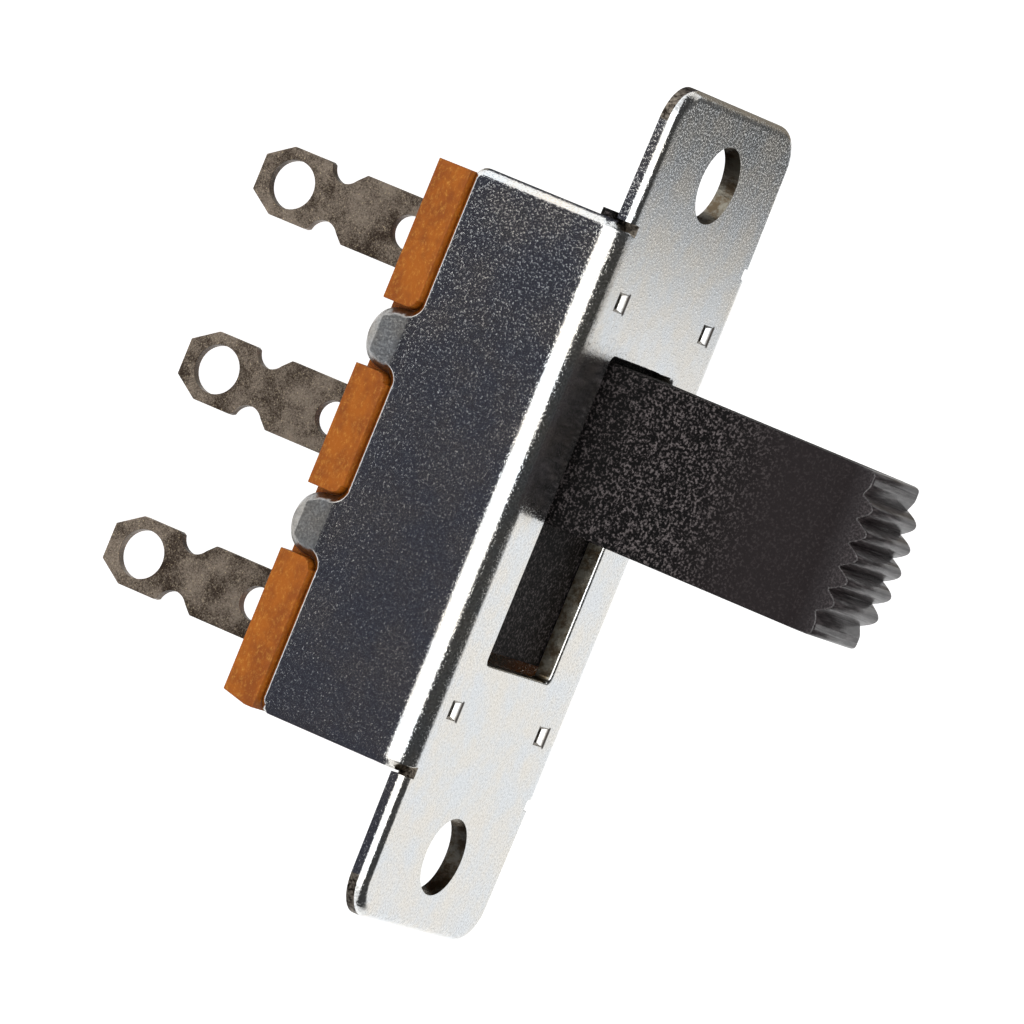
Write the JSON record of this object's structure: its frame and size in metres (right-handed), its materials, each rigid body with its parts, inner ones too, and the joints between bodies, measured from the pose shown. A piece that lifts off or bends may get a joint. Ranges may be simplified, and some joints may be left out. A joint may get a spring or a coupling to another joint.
{
  "type": "slide switch",
  "caption": "Panel slide switch: folded steel frame with ears, ridged black slider in a slot, phenolic board at the rear and a row of solder lugs.",
  "frame": {"origin": "middle of the outer face of the frame, halfway between the two fixing holes", "axes": "+Z out of the face along the finger grip, +X along the travel, lugs on the -Y side of the middle"},
  "size_m": [0.0348, 0.0126, 0.0306],
  "materials": {
    "plated_steel": "bright zinc plate",
    "phenolic_laminate": "punched, satin",
    "tinned_brass": "dull tarnished tin",
    "black_moulding": "fine spark grain",
    "contact_bronze": "bright rolled",
    "spring_steel": "drawn wire"
  },
  "bodies": {
    "switch_body": {"frame": "plated_steel", "terminal_board": "phenolic_laminate", "terminal_1": "tinned_brass", "terminal_2": "tinned_brass", "terminal_3": "tinned_brass"},
    "switch_slider": {"slider": "black_moulding", "moving_contact": "contact_bronze", "contact_spring": "spring_steel"}
  },
  "joints": [
    {"name": "slider_travel", "type": "slide", "parent": "switch_body", "child": "switch_slider", "axis": [1, 0, 0], "range_m": [0, 0.0058]}
  ]
}
